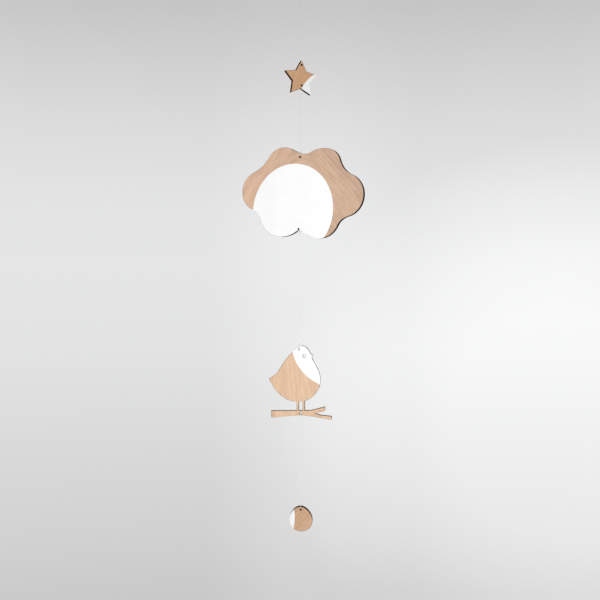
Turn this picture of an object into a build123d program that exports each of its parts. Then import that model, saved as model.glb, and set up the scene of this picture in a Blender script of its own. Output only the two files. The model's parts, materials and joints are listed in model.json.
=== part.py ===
"""Crib mobile: four plywood figures hung one under another on a single thread.

A screw-in ceiling hook carries a star, a cloud, a bird on a branch and an egg. Millimetres, +Z up.
The origin is on the ceiling, on the axis of the hook's screw, and the figures hang below it.
Each figure is drawn flat about its own top hole, u to its right and v up, and then turned about
the vertical to the way it hangs at rest.
"""

from build123d import *
from math import cos, radians, sin, tan
import os

# ---- driving dimensions ----
ply = 4.0  # thickness of the plywood
paint = 0.08  # thickness of the paint on each face
thread = 0.4  # diameter of the thread
hole = 2.6  # diameter of a thread hole
branch_hole = 3.0  # diameter of the hole in the branch
hang = 126.5  # ceiling to the star's top hole
star_to_cloud = 89.0  # from each figure's lower hole to the next one's top hole
cloud_to_bird = 150.2
bird_to_egg = 119.3

# ---- the hook ----
wire = 2.2  # diameter of the hook's wire
hook_radius = 7.0  # centre line of the hook's bend
hook_centre = -17.0  # height of the middle of the bend
bend_start = 60.0  # where the shank runs into the bend, in degrees from +X
bend_sweep = 255.0  # how far round the bend the wire goes
shank_bend = 3.0  # radius between the shank and the bend
collar_radius = 5.0
collar_height = 1.6
collar_fillet = 1.12  # round the collar's lower rim
screw_plain = 4.0  # plain part of the screw above the collar
screw_length = 17.0
screw_pitch = 1.25
screw_core = 0.75  # radius between the ridges of the screw, next to the plain part
screw_taper = 0.35  # how much of its thickness the screw loses on the way to its point

# ---- threads, ties and knots ----
slack = 0.2  # clearance between a tie and the wood
knot_height = 1.6
knot_radius = 0.6
knot_turns = 3
knot_thread = 0.25  # radius of the rings that stand for the turns of thread in a knot
knot_rise = 2.2  # wood to knot
loop_shoulder = 2.0  # radius where the sides of a loop turn in towards its knot
loop_corner = 0.6  # radius where they turn over at the wood
hook_loop = 12.0  # hook wire to the knot of the loop over it
hook_loop_side = 2.0  # hook wire to where the sides of that loop turn in
hook_loop_corner = 1.2

# ---- star ----
star_outer = 23.0
star_inner = 12.2
star_centre = (-0.5, -17.3)
star_lean = -1.2  # of the outline about its centre
star_lower_hole = (0.0, -25.9)
star_turn = 27.0  # how far the figure is turned at rest, counter-clockwise from above

# ---- cloud ----
cloud_outline = [  # the ends of its arcs, each of which carries on from the one before
    (71.4, -27.3), (55.1, -7.8), (41.5, 6.4), (15.1, 4.7), (1.1, 4.4), (-12.8, 11.0),
    (-45.9, 3.5), (-70.1, -14.7), (-85.7, -46.8), (-70.2, -62.1), (-59.3, -74.1), (-46.6, -92.6),
    (-6.0, -92.8), (1.6, -92.7), (18.5, -100.9), (51.2, -88.5), (65.8, -77.5), (86.5, -55.8),
]
cloud_heading = 154.7  # direction in which the outline sets out, in degrees
cloud_shift = 0.5  # sideways, so that the cloud hangs level by its top hole
cloud_lower_hole = (-2.3, -90.0)
cloud_turn = -29.8

# ---- bird on its branch ----
tail_corner = (-28.4, -30.2)
tail_tip = (-38.5, -36.9)
back_line = [(-20.6, -17.3), (-14.9, -9.8), (-8.3, -2.8), (-4.6, 1.1), (0.2, 4.0), (5.0, 4.4), (8.7, 2.4)]
brow = (13.7, -4.9)
beak_tip = (17.3, -7.8)
chin = (15.6, -10.2)
breast_line = [(18.9, -16.9), (24.7, -29.1), (26.2, -36.0), (25.7, -44.0), (20.0, -55.5)]
rump = (9.0, -63.7)
belly_line = [(1.5, -65.0), (-5.8, -65.2), (-12.8, -64.0), (-19.4, -60.8), (-26.8, -54.8), (-33.5, -46.3)]
eye_centre = (6.2, -8.3)
eye = 4.8
leg_width = 2.7
leg_centres = [-2.2, 5.3]
leg_top = -60.0  # inside the body
leg_foot = 1.0  # how far the legs run on into the branch
branch_top = -76.6
branch_outline = [
    (-35.8, -77.1), (14.2, -76.0), (32.0, -71.2), (32.0, -76.3), (19.8, -80.0),
    (26.9, -81.7), (40.3, -83.0), (40.6, -87.0), (36.5, -87.0), (17.9, -83.8),
    (2.2, -82.4), (-13.1, -83.5), (-35.3, -85.9),
]
branch_hole_centre = (2.1, -79.8)
bird_shift = 0.4  # of everything but the thread holes, so that the bird hangs nearly level
bird_turn = -7.0

# ---- egg ----
egg_width = 28.6
egg_height = 32.5
egg_top_radius = 10.4
egg_swell = 20.0  # how far up its side arcs their middle points are, in degrees
egg_tilt = 4.0  # lean of the egg's long axis
egg_hole_depth = 3.5  # top of the egg to its hole
egg_shift = 0.2  # sideways, so that the egg hangs level
egg_turn = -5.0
egg_lean = 9.0  # its top comes forward, because the thread runs down behind it
egg_forward = 2.0  # from the thread to the middle of the egg's hole

# ---- paint: each figure is white inside one large circle, centre and radius ----
star_white = ((43.3, -51.1), 48.3)
cloud_white = ((-11.6, -65.7), 58.0)
bird_white = ((47.2, 9.4), 56.9)
egg_white = ((-64.5, -10.4), 57.0)


def closed(*edges):
    """A face inside edges that meet end to end."""
    return make_face(Curve() + list(edges))


def star_face():
    points = []
    for tip in range(5):
        for radius, angle in ((star_outer, 90 + 72 * tip), (star_inner, 126 + 72 * tip)):
            points.append((radius * cos(radians(angle)), radius * sin(radians(angle))))
    return Pos(*star_centre) * Rot(0, 0, star_lean) * Polygon(*points, align=None)


def cloud_face():
    heading = Vector(cos(radians(cloud_heading)), sin(radians(cloud_heading)))
    arcs = []
    for start, end in zip(cloud_outline, cloud_outline[1:] + cloud_outline[:1]):
        arcs.append(TangentArc(start, end, tangent=heading))
        heading = arcs[-1] % 1
    return Pos(cloud_shift, 0) * closed(*arcs)


def bird_face():
    body = closed(
        Line(tail_tip, tail_corner),
        Spline(tail_corner, *back_line, brow),
        Line(brow, beak_tip),
        Line(beak_tip, chin),
        Spline(chin, *breast_line, rump),
        Spline(rump, *belly_line, tail_tip),
    )
    leg_length = leg_top - branch_top + leg_foot
    legs = [Pos(u, leg_top - leg_length / 2) * Rectangle(leg_width, leg_length) for u in leg_centres]
    bird = body + legs + Polygon(*branch_outline, align=None) - Pos(*eye_centre) * Circle(eye / 2)
    return Pos(bird_shift, 0) * bird


def egg_face():
    """Four arcs: a half circle below, a smaller arc on top and a large one up each side."""
    half = egg_width / 2
    rise = egg_height - half - egg_top_radius
    side = (half**2 + rise**2 - egg_top_radius**2) / (2 * (half - egg_top_radius))
    reach = side - egg_top_radius
    touch = (side * (side - half) / reach - (side - half), side * rise / reach)
    swell = (side * cos(radians(egg_swell)) - (side - half), side * sin(radians(egg_swell)))
    outline = closed(
        ThreePointArc((-half, 0), (0, -half), (half, 0)),
        ThreePointArc((half, 0), swell, touch),
        ThreePointArc(touch, (0, rise + egg_top_radius), (-touch[0], touch[1])),
        ThreePointArc((-touch[0], touch[1]), (-swell[0], swell[1]), (-half, 0)),
    )
    centre = egg_hole_depth - rise - egg_top_radius
    return Pos(egg_shift, centre) * Rot(0, 0, egg_tilt) * outline


def figure(name, face, holes, white, place):
    """Cuts one figure and its paint, with its top hole at the place."""
    for centre, diameter in holes:
        face = face - Pos(*centre) * Circle(diameter / 2)
    painted = face & (Pos(*white[0]) * Circle(white[1]))
    front = Plane.XZ.offset(ply / 2)
    back = Plane.XZ.offset(-ply / 2)
    save(name + "_panel", place * extrude(Plane.XZ * face, ply / 2, both=True))
    save(name + "_paint_front", place * extrude(front * painted, paint))
    save(name + "_paint_back", place * extrude(back * painted, -paint))


def barrel_knot():
    """A knot from z = 0 up, flat at both ends, where the thread meets it."""
    knot = Pos(0, 0, knot_height / 2) * Cylinder(thread, knot_height)
    for turn in range(knot_turns):
        z = knot_height / 2 + (turn - (knot_turns - 1) / 2) * 1.5 * knot_thread
        knot += Pos(0, 0, z) * Torus(knot_radius - knot_thread, knot_thread)
    return knot


def loop(half_width, start, shoulder, corner, reach, lean=0.0, forward=0.0):
    """A thread loop in the YZ plane that turns over at z = start and closes in a knot at reach.

    Its sides lean like the figure that they straddle, and stand forward of the knot as it does.
    """
    neck = 0.8 * thread
    knot_entry = reach + 0.3 * knot_height
    corners = [(half_width, shoulder), (half_width, start), (-half_width, start), (-half_width, shoulder)]
    sides = [Pos(0, -forward, 0) * Rot(lean, 0, 0) * Pos(0, y, z) for y, z in corners]
    points = [(0, neck, knot_entry)] + [side.position for side in sides] + [(0, -neck, knot_entry)]
    path = FilletPolyline(*points, radius=[loop_shoulder, corner, corner, loop_shoulder])
    section = Plane(origin=path @ 0, z_dir=path % 0) * Circle(thread / 2)
    return sweep(section, path) + Pos(0, 0, reach) * barrel_knot()


def tie(name, place, diameter, edge, up, lean=0.0, forward=0.0):
    """The loop through a hole that lies edge inside the wood; returns how far off its knot ends."""
    half_width = ply / 2 + paint + thread / 2 + slack
    bearing = (diameter - thread) / 2 - slack
    reach = edge + knot_rise
    shape = loop(half_width, bearing, edge + thread, loop_corner, reach, lean, forward)
    if not up:
        shape = Rot(0, 180, 0) * shape
    save(name, place * shape)
    return reach + knot_height


def line(name, x, y, top, bottom):
    """A straight run of thread between two knots."""
    save(name, Pos(x, y, (top + bottom) / 2) * Cylinder(thread / 2, top - bottom))


def ceiling_hook():
    """A cup hook: a wood screw above a round collar, and an open bend of wire below it."""
    at = radians(bend_start)
    bend_end = (hook_radius * cos(at), 0, hook_centre + hook_radius * sin(at))
    corner = (0, 0, bend_end[2] + bend_end[0] / tan(at))
    shank = FilletPolyline((0, 0, -collar_height / 2), corner, bend_end, radius=shank_bend)
    frame = Plane(origin=(0, 0, hook_centre), x_dir=(1, 0, 0), z_dir=(0, -1, 0))
    bend = frame * CenterArc((0, 0), hook_radius, bend_start, -bend_sweep)
    section = Plane(origin=shank @ 0, z_dir=shank % 0) * Circle(wire / 2)
    metal = sweep(section, Curve() + [*shank.edges(), bend])
    tip = bend @ 1
    metal += Pos(tip.X, tip.Y, tip.Z) * Sphere(wire / 2)
    collar = Pos(0, 0, -collar_height / 2) * Cylinder(collar_radius, collar_height)
    metal += fillet(collar.edges().group_by(Axis.Z)[0], collar_fillet)
    profile = [(0, 0), (wire / 2, 0), (wire / 2, screw_plain)]
    ridges = int((screw_length - screw_plain) / screw_pitch) - 1
    for ridge in range(ridges):
        z = screw_plain + ridge * screw_pitch
        taper = 1 - screw_taper * ridge / ridges
        profile += [(screw_core * taper, z + 0.3 * screw_pitch), (wire / 2 * taper, z + 0.7 * screw_pitch)]
    profile += [(0, screw_length)]
    return metal + revolve(Plane.XZ * Polygon(*profile, align=None), Axis.Z)


def save(name, shape):
    export_step(shape, "parts/" + name + ".step")


os.makedirs("parts", exist_ok=True)
save("ceiling_hook", ceiling_hook())

# The loop over the hook's wire, and the thread from it down to the star
wire_bottom = hook_centre - hook_radius
over_wire = (wire + slack + thread) / 2
hook_knot = hook_loop + knot_height
hook_thread = loop(over_wire, -over_wire, hook_loop_side, hook_loop_corner, hook_loop)
save("hook_loop", Pos(0, 0, wire_bottom) * Rot(0, 180, 0) * hook_thread)

figures = [
    # name, face, lower hole, its diameter, white circle, distance down to the top hole
    ("star", star_face(), star_lower_hole, hole, star_white, hang),
    ("cloud", cloud_face(), cloud_lower_hole, hole, cloud_white, star_to_cloud),
    ("bird", bird_face(), branch_hole_centre, branch_hole, bird_white, cloud_to_bird),
    ("egg", egg_face(), None, None, egg_white, bird_to_egg),
]
turns = {"star": star_turn, "cloud": cloud_turn, "bird": bird_turn, "egg": egg_turn}
leans = {"egg": (egg_lean, egg_forward)}
# hole to the edge of the wood beside each tie, over the whole of its swing
edge_above = {"star": 5.9, "cloud": 5.6, "bird": 4.8, "egg": 3.9}
edge_below = {"star": 4.4, "cloud": 3.6, "bird": 2.9}

start = Vector(0, 0, 0)
thread_top = wire_bottom - hook_knot
for name, face, lower, lower_diameter, white, drop in figures:
    lean, forward = leans.get(name, (0.0, 0.0))
    turn = Rot(0, 0, turns[name])
    holes = [((0, 0), hole)]
    if lower:
        holes.append((lower, lower_diameter))
    top = start - Vector(0, 0, drop)
    thread_place = Pos(*top) * turn
    place = thread_place * Pos(0, -forward, 0) * Rot(lean, 0, 0)
    figure(name, face, holes, white, place)
    knot_end = tie(name + "_top_tie", thread_place, hole, edge_above[name], True, lean, forward)
    line(name + "_thread", top.X, top.Y, thread_top, top.Z + knot_end)
    if lower:
        start = (place * Pos(lower[0], 0, lower[1])).position
        knot_end = tie(name + "_lower_tie", Pos(*start) * turn, lower_diameter, edge_below[name], False)
        thread_top = start.Z - knot_end
    print(name, "top hole", place.position, "middle of the wood", face.center(CenterOf.MASS))
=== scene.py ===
"""Looks of the crib mobile: four veneered plywood figures, part painted white, on a white thread."""

import json
import math
from collections import namedtuple

import bmesh
import bpy
from mathutils import Matrix, Vector
from mathutils.bvhtree import BVHTree


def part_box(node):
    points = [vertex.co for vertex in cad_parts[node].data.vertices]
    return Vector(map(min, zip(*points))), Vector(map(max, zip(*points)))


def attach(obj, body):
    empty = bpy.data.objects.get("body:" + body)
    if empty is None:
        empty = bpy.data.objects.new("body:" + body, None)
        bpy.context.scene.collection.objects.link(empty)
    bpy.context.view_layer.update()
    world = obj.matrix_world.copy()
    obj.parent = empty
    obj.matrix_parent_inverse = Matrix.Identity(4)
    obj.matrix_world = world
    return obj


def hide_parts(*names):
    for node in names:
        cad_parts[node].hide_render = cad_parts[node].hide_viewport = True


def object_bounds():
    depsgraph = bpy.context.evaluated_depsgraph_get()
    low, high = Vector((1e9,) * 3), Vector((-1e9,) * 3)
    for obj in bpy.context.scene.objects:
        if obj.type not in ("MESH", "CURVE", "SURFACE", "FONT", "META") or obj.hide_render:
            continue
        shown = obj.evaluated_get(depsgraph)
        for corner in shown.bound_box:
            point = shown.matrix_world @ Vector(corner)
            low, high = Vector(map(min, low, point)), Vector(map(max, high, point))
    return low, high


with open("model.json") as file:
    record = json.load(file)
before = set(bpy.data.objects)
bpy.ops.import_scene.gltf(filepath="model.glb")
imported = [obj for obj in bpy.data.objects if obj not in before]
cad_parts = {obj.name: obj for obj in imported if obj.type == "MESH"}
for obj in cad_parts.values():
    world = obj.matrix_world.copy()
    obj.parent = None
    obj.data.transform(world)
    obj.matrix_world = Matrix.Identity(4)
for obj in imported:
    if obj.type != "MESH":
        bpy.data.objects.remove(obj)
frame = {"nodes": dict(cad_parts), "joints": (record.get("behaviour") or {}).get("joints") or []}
cad_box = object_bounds()
joints = {joint["name"]: joint for joint in frame["joints"]}

FIGURES = ("star", "cloud", "bird", "egg")
RIM_WIDTH = 0.0007  # browned rim that the laser leaves on each face
THREAD_GAP = 0.00002  # end of a thread to the flat end of its knot, which turns against it
PLY = 0.004  # thickness of the plywood
BESIDE_CUT = 0.0002  # paint no further than this from the side of the wood ends at the laser's cut
CREASE = math.radians(28)  # edges sharper than this aren't shaded smooth

# How wide the rim may be in tight places
LONGEST_MITRE = 3  # at a corner, in widths of the rim
SHARP_CORNER = 0.5  # cosine of the turn past which a corner is held to a share of its sides
SHARE_OF_SIDE = 0.4
SHARE_OF_ROOM = 0.45  # of the way across the piece, so that the rims of both sides fit
PULL_BACKS = 10  # most times that a folded corner is halved

AMBIENT = 0.36  # strength of the light from all around
BROWNED_WOOD = (0.26, 0.12, 0.055, 1)
CHARRED_WOOD = (0.020, 0.013, 0.009, 1)
BROWNED_SPOT = (0.42, 0.20, 0.085, 1)
BROWNED_PAINT = (0.47, 0.40, 0.33, 1)
CHARRED_PAINT = (0.12, 0.10, 0.085, 1)
# painted shade on a tie where it lies inside its hole
HOLE_PAINTED_SHADE = (0.10, 0.09, 0.085, 1)
CENTIMETRES = 100.0  # in a metre, for ramps that work on centimetres

# Veneer of each figure: light and dark tone, direction of the grain from upright in degrees,
# how steeply its growth lines fall away on both sides of the middle, where in the sheet it was
# cut, so that no two figures share a pattern, how wide its streaks are for their length, how
# much they stand out, how much painted light makes it paler towards the left (for each metre),
# how much more the upper rims are charred, and the places that the laser browned more than others.
Veneer = namedtuple("Veneer", "light dark turn fall cut run contrast drift burnt browned", defaults=[()])
VENEERS = {
    "star": Veneer((0.66, 0.395, 0.224), (0.52, 0.30, 0.163), -24, 0.0, 0.31, 0.05, 1.4, 0.0, 0.4),
    "cloud": Veneer((0.670, 0.456, 0.323), (0.505, 0.330, 0.232), 0, 1.25, 1.72, 0.10, 1.75, 1.1, 0.0),
    "bird": Veneer(
        (0.77, 0.546, 0.372), (0.625, 0.416, 0.271), 3, 0.0, 2.93, 0.05, 1.6, 0.0, 0.7,
        ((-0.038, -0.037), (-0.0354, -0.0815)),
    ),
    "egg": Veneer((0.69, 0.440, 0.281), (0.53, 0.325, 0.195), -40, 0.0, 4.14, 0.05, 1.5, 0.0, 0.6),
}


# ---- node helpers ----
class Shader:
    """A material's node tree, with one short call for each node."""

    def __init__(self, name):
        self.material = bpy.data.materials.new(name)
        self.material.use_nodes = True
        self.tree = self.material.node_tree
        self.surface = self.tree.nodes["Principled BSDF"]

    @classmethod
    def of_world(cls, world):
        shader = cls.__new__(cls)
        shader.tree = world.node_tree
        shader.tree.nodes.clear()
        return shader

    def add(self, kind, settings=None, **inputs):
        node = self.tree.nodes.new("ShaderNode" + kind)
        for key, value in (settings or {}).items():
            setattr(node, key, value)
        for key, value in inputs.items():
            self.feed(node, key, value)
        return node

    def feed(self, node, key, value):
        socket = node.inputs[int(key[1:])] if key[0] == "i" and key[1:].isdigit() else node.inputs[key]
        if isinstance(value, bpy.types.NodeSocket):
            self.tree.links.new(value, socket)
        else:
            socket.default_value = value

    def math(self, operation, a, b=0.0, c=0.0):
        return self.add("Math", {"operation": operation}, i0=a, i1=b, i2=c).outputs[0]

    def mix(self, factor, a, b, blend="MIX"):
        node = self.add("Mix", {"data_type": "RGBA", "blend_type": blend}, i0=factor, i6=a, i7=b)
        return node.outputs[2]

    def ramp(self, value, *stops):
        node = self.add("ValToRGB", i0=value)
        elements = node.color_ramp.elements
        while len(elements) < len(stops):
            elements.new(0.5)
        for element, (position, colour) in zip(elements, stops):
            element.position = position
            element.color = (*colour, 1) if isinstance(colour, tuple) else (colour, colour, colour, 1)
        return node.outputs[0]

    def here(self):
        return self.add("TexCoord").outputs["Object"]

    def place(self, scale=(1, 1, 1), turn=0.0):
        """Object coordinates, turned in the figure's own plane and stretched."""
        turned = self.add("Mapping", Vector=self.here(), Rotation=(0, math.radians(turn), 0))
        return self.add("Mapping", Vector=turned.outputs[0], Scale=scale).outputs[0]

    def away(self, place, centre):
        """How far the place is from the centre."""
        node = self.add("VectorMath", {"operation": "DISTANCE"}, i0=place, i1=centre)
        return node.outputs["Value"]

    def stretch(self, where, scale):
        return self.add("Mapping", Vector=where, Scale=scale).outputs[0]

    def noise(self, where, scale, detail=3.0, roughness=0.55, distortion=0.0):
        node = self.add("TexNoise", Vector=where, Scale=scale, Detail=detail, Roughness=roughness)
        node.inputs["Distortion"].default_value = distortion
        return node.outputs[0]

    def bump(self, height, strength, distance):
        node = self.add("Bump", Height=height, Strength=strength, Distance=distance)
        self.feed(self.surface, "Normal", node.outputs[0])

    def set(self, **values):
        for key, value in values.items():
            self.feed(self.surface, key.replace("_", " "), value)


# ---- materials ----
def veneer(name):
    """The face of a figure: fibres, streaks, soft bands, growth lines, ray flecks and a scorched rim."""
    kind = VENEERS[name]
    shader = Shader(name + "_veneer")
    sheet = lie_of_grain(shader, kind.turn, kind.fall, kind.cut)
    fibres = shader.noise(shader.stretch(sheet, (1, 1, 0.05)), 2200, 4, 0.65)
    streaks = shader.noise(shader.stretch(sheet, (1, 1, kind.run)), 560, 4, 0.75)
    bands = shader.noise(shader.stretch(sheet, (1, 1, 0.22)), 70, 3, 0.55, 0.4)
    rings = shader.noise(shader.stretch(sheet, (1, 1, kind.run / 2)), 150, 2, 0.5)
    flecks = shader.noise(shader.stretch(sheet, (1, 1, 0.13)), 2400, 2, 0.5)
    tone = shader.math("MULTIPLY", streaks, 0.56)
    tone = shader.math("MULTIPLY_ADD", fibres, 0.18, tone)
    tone = shader.math("MULTIPLY_ADD", bands, 0.20, tone)
    tone = shader.math("MULTIPLY_ADD", rings, 0.10, tone)
    spread = 0.14 / kind.contrast
    wood = shader.ramp(tone, (0.52 - spread, kind.dark), (0.52 + spread, kind.light))
    fleck = shader.ramp(flecks, (0.60, 0.0), (0.68, 1.0))
    fleck_colour = tuple(0.68 * channel for channel in kind.dark)
    wood = shader.mix(shader.math("MULTIPLY", fleck, 0.45), wood, (*fleck_colour, 1))
    here = shader.here()
    # painted light: the wood is painted paler towards the left and darker towards the right, standing in
    # for light falling unevenly across the figure
    if kind.drift:
        sideways = shader.add("SeparateXYZ", Vector=here).outputs["X"]
        gain = shader.math("MULTIPLY_ADD", sideways, -kind.drift, 1.0)
        gain = shader.add("CombineXYZ", X=gain, Y=gain, Z=gain).outputs[0]
        wood = shader.mix(1.0, wood, gain, "MULTIPLY")
    for u, v in kind.browned:
        away = shader.away(shader.stretch(here, (1, 0, 1)), (u, 0, v))
        spot = shader.ramp(shader.math("MULTIPLY", away, CENTIMETRES), (0.1, 0.32), (0.62, 0.0))
        wood = shader.mix(spot, wood, BROWNED_SPOT)
    browned, charred = scorch(shader)
    wood = shader.mix(browned, wood, BROWNED_WOOD)
    wood = shader.mix(charred, wood, CHARRED_WOOD)
    shader.set(Base_Color=wood, Roughness=shader.ramp(fibres, (0.3, 0.52), (0.7, 0.66)))
    shader.set(Specular_IOR_Level=0.30)
    shader.bump(fibres, 0.3, 0.00006)
    return shader.material


def lie_of_grain(shader, turn, fall, cut):
    """Where a point is in the veneer sheet: X across the grain and Z along it.

    With a fall, the growth lines run up to the middle of the figure and down again, as they do in
    flat-cut veneer.
    """
    here = shader.place(turn=turn)
    parts = shader.add("SeparateXYZ", Vector=here)
    across, through, along = parts.outputs
    if fall:
        crown = shader.math("SQRT", shader.math("ADD", shader.math("POWER", across, 2.0), 0.022**2))
        rise = shader.math("MULTIPLY_ADD", crown, fall, along)
        along, across = across, shader.math("MULTIPLY", rise, 1 / math.hypot(1, fall))
        bend = shader.noise(here, 22, 1, 0.4)
        across = shader.math("MULTIPLY_ADD", bend, 0.012, across)
    else:
        bend = shader.noise(here, 16, 1, 0.4)
        across = shader.math("MULTIPLY_ADD", bend, 0.006, across)
    side = shader.math("SIGN", through)
    across = shader.math("MULTIPLY_ADD", side, 0.37, across)
    return shader.add("CombineXYZ", X=across, Y=cut, Z=along).outputs[0]


def scorch(shader):
    """How far the laser has browned the face, and charred it: most at the cut, and uneven."""
    rim = shader.add("Attribute", {"attribute_name": "rim"}).outputs["Fac"]
    uneven = shader.noise(shader.place(), 700, 3)
    reach = shader.math("MULTIPLY_ADD", shader.math("SUBTRACT", uneven, 0.5), 0.35, rim)
    return shader.ramp(reach, (0.10, 0.0), (0.90, 0.52)), shader.ramp(reach, (0.55, 0.0), (0.95, 0.80))


def burnt_edge(name):
    """The laser-cut edge: charred plies, darker glue lines, and fine marks of the cut across them."""
    shader = Shader(name + "_burnt_edge")
    depth = shader.add("SeparateXYZ", Vector=shader.here()).outputs["Y"]
    depth = shader.math("ABSOLUTE", depth)
    plies = shader.ramp(
        shader.math("DIVIDE", depth, PLY / 2),
        (0.0, (0.026, 0.016, 0.011)),
        (0.36, (0.022, 0.014, 0.010)),
        (0.41, (0.003, 0.003, 0.003)),
        (0.46, (0.012, 0.008, 0.006)),
        (0.92, (0.014, 0.009, 0.007)),
        (1.0, (0.006, 0.005, 0.004)),
    )
    cut = shader.noise(shader.place((1, 0.06, 1)), 2600, 3, 0.6)
    char = shader.noise(shader.place(), 420, 3, 0.6)
    colour = shader.mix(shader.ramp(cut, (0.35, 0.0), (0.7, 0.6)), plies, (0.002, 0.002, 0.002, 1))
    colour = shader.mix(shader.ramp(char, (0.58, 0.0), (0.80, 0.5)), colour, (0.020, 0.011, 0.007, 1))
    shader.set(Base_Color=colour, Roughness=0.95, Specular_IOR_Level=0.0)
    shader.bump(cut, 0.5, 0.00008)
    return shader.material


def white_paint():
    """Two thin matt coats: a soft roller texture, and a grey-brown rim where the laser cut them."""
    shader = Shader("white_paint")
    roller = shader.noise(shader.place(), 950, 3, 0.55)
    cloudy = shader.noise(shader.place(), 28, 2, 0.5)
    colour = shader.ramp(cloudy, (0.3, (0.865, 0.872, 0.868)), (0.7, (0.895, 0.902, 0.898)))
    browned, charred = scorch(shader)
    colour = shader.mix(browned, colour, BROWNED_PAINT)
    colour = shader.mix(charred, colour, CHARRED_PAINT)
    shader.set(Base_Color=colour, Roughness=shader.ramp(roller, (0.3, 0.46), (0.7, 0.56)))
    shader.set(Specular_IOR_Level=0.4)
    shader.bump(roller, 0.16, 0.00005)
    return shader.material


def thread_white(name="thread_white", shade=1.0, hole=None):
    """Spun polyester: off-white, faintly glossy along the fibres, with a soft fuzz.

    A tie is painted dark where it goes through its hole, as painted shade inside the hole.
    """
    shader = Shader(name)
    fuzz = shader.noise(shader.place(), 4200, 3, 0.6)
    # painted shade: a shade below 1 paints the whole thread darker, standing in for the dimmer light on
    # the threads high up
    dim, bright = 0.80 * shade, 0.90 * shade
    colour = shader.ramp(fuzz, (0.3, (dim, dim, 0.99 * dim)), (0.7, (bright, bright, 0.99 * bright)))
    if hole:
        away = shader.math("MULTIPLY", shader.away(shader.here(), hole), CENTIMETRES)
        # painted shade: darker within a few millimetres of the hole's centre, where the tie lies in the
        # hole
        colour = shader.mix(shader.ramp(away, (0.25, 0.94), (0.35, 0.0)), colour, HOLE_PAINTED_SHADE)
    shader.set(Base_Color=colour, Roughness=0.62, Specular_IOR_Level=0.35, Sheen_Weight=0.35)
    shader.bump(fuzz, 0.4, 0.00006)
    return shader.material


def plated_steel():
    """Zinc-plated wire: bright, slightly mottled, with fine drawing marks."""
    shader = Shader("plated_steel")
    mottle = shader.noise(shader.place(), 260, 3, 0.6)
    marks = shader.noise(shader.place((1, 1, 0.08)), 5200, 2, 0.5)
    colour = shader.ramp(mottle, (0.35, (0.52, 0.50, 0.46)), (0.65, (0.70, 0.68, 0.64)))
    shader.set(Base_Color=colour, Metallic=1.0, Roughness=shader.ramp(mottle, (0.3, 0.24), (0.7, 0.38)))
    shader.bump(marks, 0.12, 0.00003)
    return shader.material


def dress(piece, *materials):
    piece.data.materials.clear()
    for material in materials:
        piece.data.materials.append(material)


# ---- pieces ----
def figure_place(name):
    """The figure's own frame: at its top hole, X along the figure, Y through it and Z up it."""
    joint = joints[name + "_rock"]
    through = -Vector(joint["axis"]).normalized()
    along = through.cross(Vector((0, 0, 1))).normalized()
    turned = Matrix((along, through, along.cross(through))).transposed()
    return Matrix.Translation(joint["pos_m"]) @ turned.to_4x4()


def cut_piece(name, node_name, materials, cut=None):
    """A CAD piece of a figure again, with a ring of faces for the scorched rim on its flat sides.

    The rim goes all round, or, with cut, only where the piece ends at that cut through the wood.
    """
    place = figure_place(name)
    mesh = in_place(node_name, place)
    walls = side_walls(mesh)
    middle = sum(vertex.co.y for vertex in mesh.verts) / len(mesh.verts)
    rim = mesh.verts.layers.float.new("rim")
    for vertex in mesh.verts:
        at_cut = cut is None or cut.find_nearest(vertex.co)[3] < BESIDE_CUT
        vertex[rim] = 1.0 if at_cut else 0.0
    for edge in mesh.edges:
        if cut and len({vertex[rim] for vertex in edge.verts if vertex[rim] in (0.0, 1.0)}) == 2:
            for vertex in edge.verts:
                vertex[rim] = min(vertex[rim], 0.3)
    for side in (-1, 1):
        flat = [face for face in mesh.faces if side * face.normal.y > 0.9]
        inset = bmesh.ops.inset_region(mesh, faces=flat, thickness=RIM_WIDTH, use_boundary=True)
        for face in flat:
            for vertex in face.verts:
                vertex[rim] = 0.0
        for vertex, step in even_out(inset["faces"], flat, Vector((0, side, 0)), walls, middle):
            vertex[rim] *= 1 + VENEERS[name].burnt * max(0.0, -step.z)
    for face in mesh.faces:
        face.material_index = 0 if abs(face.normal.y) > 0.9 else len(materials) - 1
        face.smooth = True
    for edge in mesh.edges:
        edge.smooth = edge.calc_face_angle(0.0) < CREASE
    data = bpy.data.meshes.new(node_name + "_cut")
    piece = bpy.data.objects.new(node_name + "_cut", data)
    dress(piece, *materials)  # before the faces, whose material numbers it would clear
    mesh.to_mesh(data)
    mesh.free()
    bpy.context.scene.collection.objects.link(piece)
    piece.matrix_world = place
    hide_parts(node_name)
    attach(piece, name)


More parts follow.
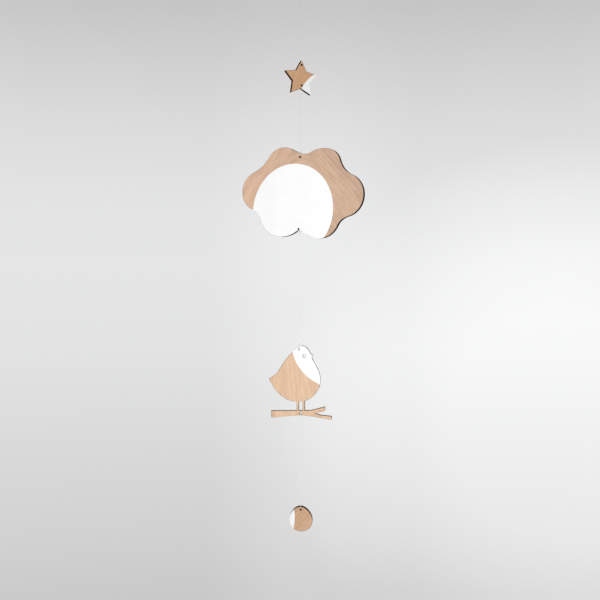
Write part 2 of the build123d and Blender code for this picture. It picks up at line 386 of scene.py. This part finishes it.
def even_out(ring, flat, facing, walls, middle):
    """Makes the ring equally wide everywhere, but for the sharpest corners and narrowest places.

    Gives each corner of the outline with the way from it into the wood. At the end it pulls back
    the corners of any triangle that has turned over.
    """
    inner = {vertex for face in flat for vertex in face.verts}
    inward = {}
    partner = {}
    shortest = {}
    for face in ring:
        for loop in face.loops:
            here, there = loop.vert, loop.link_loop_next.vert
            if here not in inner and there not in inner:
                along = there.co - here.co
                for end in (here, there):
                    inward.setdefault(end, []).append(facing.cross(along.normalized()))
                    shortest[end] = min(along.length, shortest.get(end, along.length))
            elif here not in inner:
                partner[here] = there
            elif there not in inner:
                partner[there] = here
    for outer, vertex in partner.items():
        first, second = inward[outer][0], inward[outer][-1]
        step = (first + second) / max(1 + first.dot(second), 0.05)
        way = step.normalized()
        width = RIM_WIDTH * min(step.length, LONGEST_MITRE)
        if first.dot(second) < SHARP_CORNER:
            width = min(width, SHARE_OF_SIDE * shortest[outer])
        start = Vector((outer.co.x, middle, outer.co.z)) + 0.00001 * way
        room = walls.ray_cast(start, way)[3]
        if room is not None:
            width = min(width, SHARE_OF_ROOM * room)
        vertex.co = outer.co + width * way
        yield outer, way
    faces = ring + flat
    for _ in range(PULL_BACKS):
        for face in faces:
            face.normal_update()
        folded = {vertex for face in faces if face.normal.dot(facing) < 0.5 for vertex in face.verts}
        for outer, vertex in partner.items():
            if vertex in folded:
                vertex.co = (vertex.co + outer.co) / 2
        if not folded:
            break


def in_place(node_name, place):
    """The CAD mesh of a node in its figure's own frame, with its corners joined."""
    mesh = bmesh.new()
    mesh.from_mesh(frame["nodes"][node_name].data)
    bmesh.ops.transform(mesh, matrix=place.inverted(), verts=mesh.verts)
    bmesh.ops.remove_doubles(mesh, verts=mesh.verts, dist=1e-6)
    bmesh.ops.recalc_face_normals(mesh, faces=mesh.faces)
    return mesh


def side_walls(mesh):
    """The sides of a flat piece, its outline and its holes, to look up what is next to them."""
    corners = [vertex.co.copy() for vertex in mesh.verts]
    sides = [[v.index for v in face.verts] for face in mesh.faces if abs(face.normal.y) < 0.5]
    return BVHTree.FromPolygons(corners, sides)


def cut_through(name):
    """The sides of a panel."""
    mesh = in_place(name + "_panel", figure_place(name))
    walls = side_walls(mesh)
    mesh.free()
    return walls


def thread_line(name, tie_above):
    """The taut thread above a figure, from the knot over it to the knot of the tie above."""
    low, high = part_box(name + "_thread")
    middle = (low + high) / 2
    diameter = high.x - low.x
    top, bottom = high.z - THREAD_GAP, low.z + THREAD_GAP
    route = [(middle.x, middle.y, z) for z in (top, middle.z, bottom)]
    curve = bpy.data.curves.new(name + "_thread_line", "CURVE")
    curve.dimensions = "3D"
    curve.bevel_depth = diameter / 2
    curve.bevel_resolution = 4
    curve.use_fill_caps = True
    spline = curve.splines.new("NURBS")
    spline.points.add(len(route) - 1)
    for point, place in zip(spline.points, route):
        point.co = (*place, 1)
    spline.order_u = 3
    spline.use_endpoint_u = True
    piece = bpy.data.objects.new(name + "_thread_line", curve)
    bpy.context.scene.collection.objects.link(piece)
    # the upper two threads take the thread with painted shade
    dress(piece, painted_shade_thread if name in ("star", "cloud") else thread)
    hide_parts(name + "_thread")
    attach(piece, name + "_line")
    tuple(route[0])


def tie(node_name, hole):
    node = frame["nodes"][node_name]
    dress(node, thread_white(node_name, 1.0, tuple(node.matrix_world.inverted() @ Vector(hole))))


thread = thread_white()
# the same thread painted darker, as painted shade, for the star's and cloud's threads high up
painted_shade_thread = thread_white("painted_shade_thread", 0.74)
paint = white_paint()
upper_ties = ("hook_loop", "star_lower_tie", "cloud_lower_tie", "bird_lower_tie")
for name, tie_above in zip(FIGURES, upper_ties):
    cut_piece(name, name + "_panel", (veneer(name), burnt_edge(name)))
    cut = cut_through(name)
    for side in ("front", "back"):
        cut_piece(name, name + "_paint_" + side, (paint,), cut)
    thread_line(name, tie_above)
    tie(name + "_top_tie", joints[name + "_rock"]["pos_m"])
    if name != "star":
        tie(tie_above, joints[name + "_line_swing"]["pos_m"])
dress(frame["nodes"]["hook_loop"], thread)
dress(frame["nodes"]["ceiling_hook"], plated_steel())


# ---- camera, lights, floor ----
EYE_HEIGHT = -0.420
EYE_ASIDE = -0.0011
EYE_DISTANCE = 1.025
FOCAL_LENGTH = 49.2  # millimetres, on a sensor 36 mm wide
FLOOR_RADIUS = 1.2
FLOOR_BELOW = 0.6  # from the lowest point of the egg


def area_light(name, place, target, width, height, watts, colour=(1, 1, 1)):
    light = bpy.data.lights.new(name, "AREA")
    light.shape = "RECTANGLE"
    light.size = width
    light.size_y = height
    light.energy = watts
    light.color = colour
    lamp = bpy.data.objects.new(name, light)
    lamp.location = place
    lamp.rotation_euler = (Vector(target) - Vector(place)).to_track_quat("-Z", "Y").to_euler()
    lamp.visible_camera = False
    bpy.context.scene.collection.objects.link(lamp)


def world_light():
    """A pale studio wall: brightest at eye level and a little to the right, dimmer above and below."""
    world = bpy.data.worlds.new("studio")
    world.use_nodes = True
    bpy.context.scene.world = world
    shader = Shader.of_world(world)
    direction = shader.add("TexCoord").outputs["Generated"]
    right, ahead, up = shader.add("SeparateXYZ", Vector=direction).outputs
    height = shader.math("MULTIPLY_ADD", up, 0.5, 0.5)
    wall = shader.ramp(
        height,
        (0.334, 0.588),
        (0.360, 0.632),
        (0.410, 0.690),
        (0.470, 0.765),
        (0.520, 0.785),
        (0.560, 0.770),
        (0.607, 0.708),
        (0.640, 0.632),
        (0.670, 0.558),
    )
    away = shader.away(direction, (0.30, 0.94, -0.14))
    glow = shader.ramp(away, (0.13, 0.17), (0.20, 0.125), (0.33, 0.0))
    wall = shader.mix(1.0, wall, glow, "ADD")
    aside = shader.math("SUBTRACT", right, 0.012)
    band = shader.ramp(shader.math("ABSOLUTE", aside), (0.0, 1.0), (0.03, 0.95), (0.12, 0.0))
    band = shader.math("MULTIPLY", band, shader.math("GREATER_THAN", ahead, 0.0))
    lift = shader.ramp(
        height,
        (0.32, 0.054),
        (0.36, 0.066),
        (0.42, 0.072),
        (0.50, 0.060),
        (0.54, 0.066),
        (0.60, 0.034),
        (0.66, 0.019),
    )
    wall = shader.mix(band, wall, shader.mix(1.0, wall, lift, "ADD"))
    tint = shader.ramp(
        height,
        (0.34, (1.0, 0.988, 0.992)),
        (0.42, (0.990, 0.994, 1.0)),
        (0.56, (0.990, 0.994, 1.0)),
        (0.63, (1.0, 0.984, 0.986)),
    )
    wall = shader.mix(1.0, wall, tint, "MULTIPLY")
    seen = shader.add("Background", Color=wall, Strength=1.008)
    ambient = shader.add("Background", Color=(0.94, 0.96, 1.0, 1), Strength=AMBIENT)
    path = shader.add("LightPath").outputs["Is Camera Ray"]
    choose = shader.add("MixShader", i0=path, i1=ambient.outputs[0], i2=seen.outputs[0])
    shader.add("OutputWorld", Surface=choose.outputs[0])


def pale_floor():
    """A round floor well below the egg, too small to show in the main view."""
    mesh = bmesh.new()
    bmesh.ops.create_circle(mesh, cap_ends=True, segments=96, radius=FLOOR_RADIUS)
    data = bpy.data.meshes.new("floor")
    mesh.to_mesh(data)
    mesh.free()
    floor = bpy.data.objects.new("floor", data)
    floor.location = (0, 0, cad_box[0].z - FLOOR_BELOW)
    bpy.context.scene.collection.objects.link(floor)
    shader = Shader("floor")
    shader.set(Base_Color=(0.74, 0.74, 0.74, 1), Roughness=0.9, Specular_IOR_Level=0.2)
    shader.set(Emission_Color=(0.11, 0.11, 0.11, 1), Emission_Strength=1.0)
    dress(floor, shader.material)


lens = bpy.data.cameras.new("camera")
lens.sensor_width = 36
lens.lens = FOCAL_LENGTH
camera = bpy.data.objects.new("camera", lens)
camera.location = (EYE_ASIDE, -EYE_DISTANCE, EYE_HEIGHT)
camera.rotation_euler = (math.radians(90), 0, 0)
bpy.context.scene.collection.objects.link(camera)
bpy.context.scene.camera = camera

world_light()
middle = (0, 0, EYE_HEIGHT + 0.02)
area_light("key", (-0.12, -0.95, EYE_HEIGHT + 0.08), middle, 1.4, 0.3, 8.6, (1.0, 0.99, 0.97))
area_light("fill", (-0.7, -0.8, EYE_HEIGHT + 0.1), middle, 0.6, 0.6, 1.2)
area_light("back", (-0.3, 1.2, EYE_HEIGHT + 0.4), middle, 0.7, 0.7, 7.0)
pale_floor()
bpy.context.scene.view_settings.view_transform = "Standard"
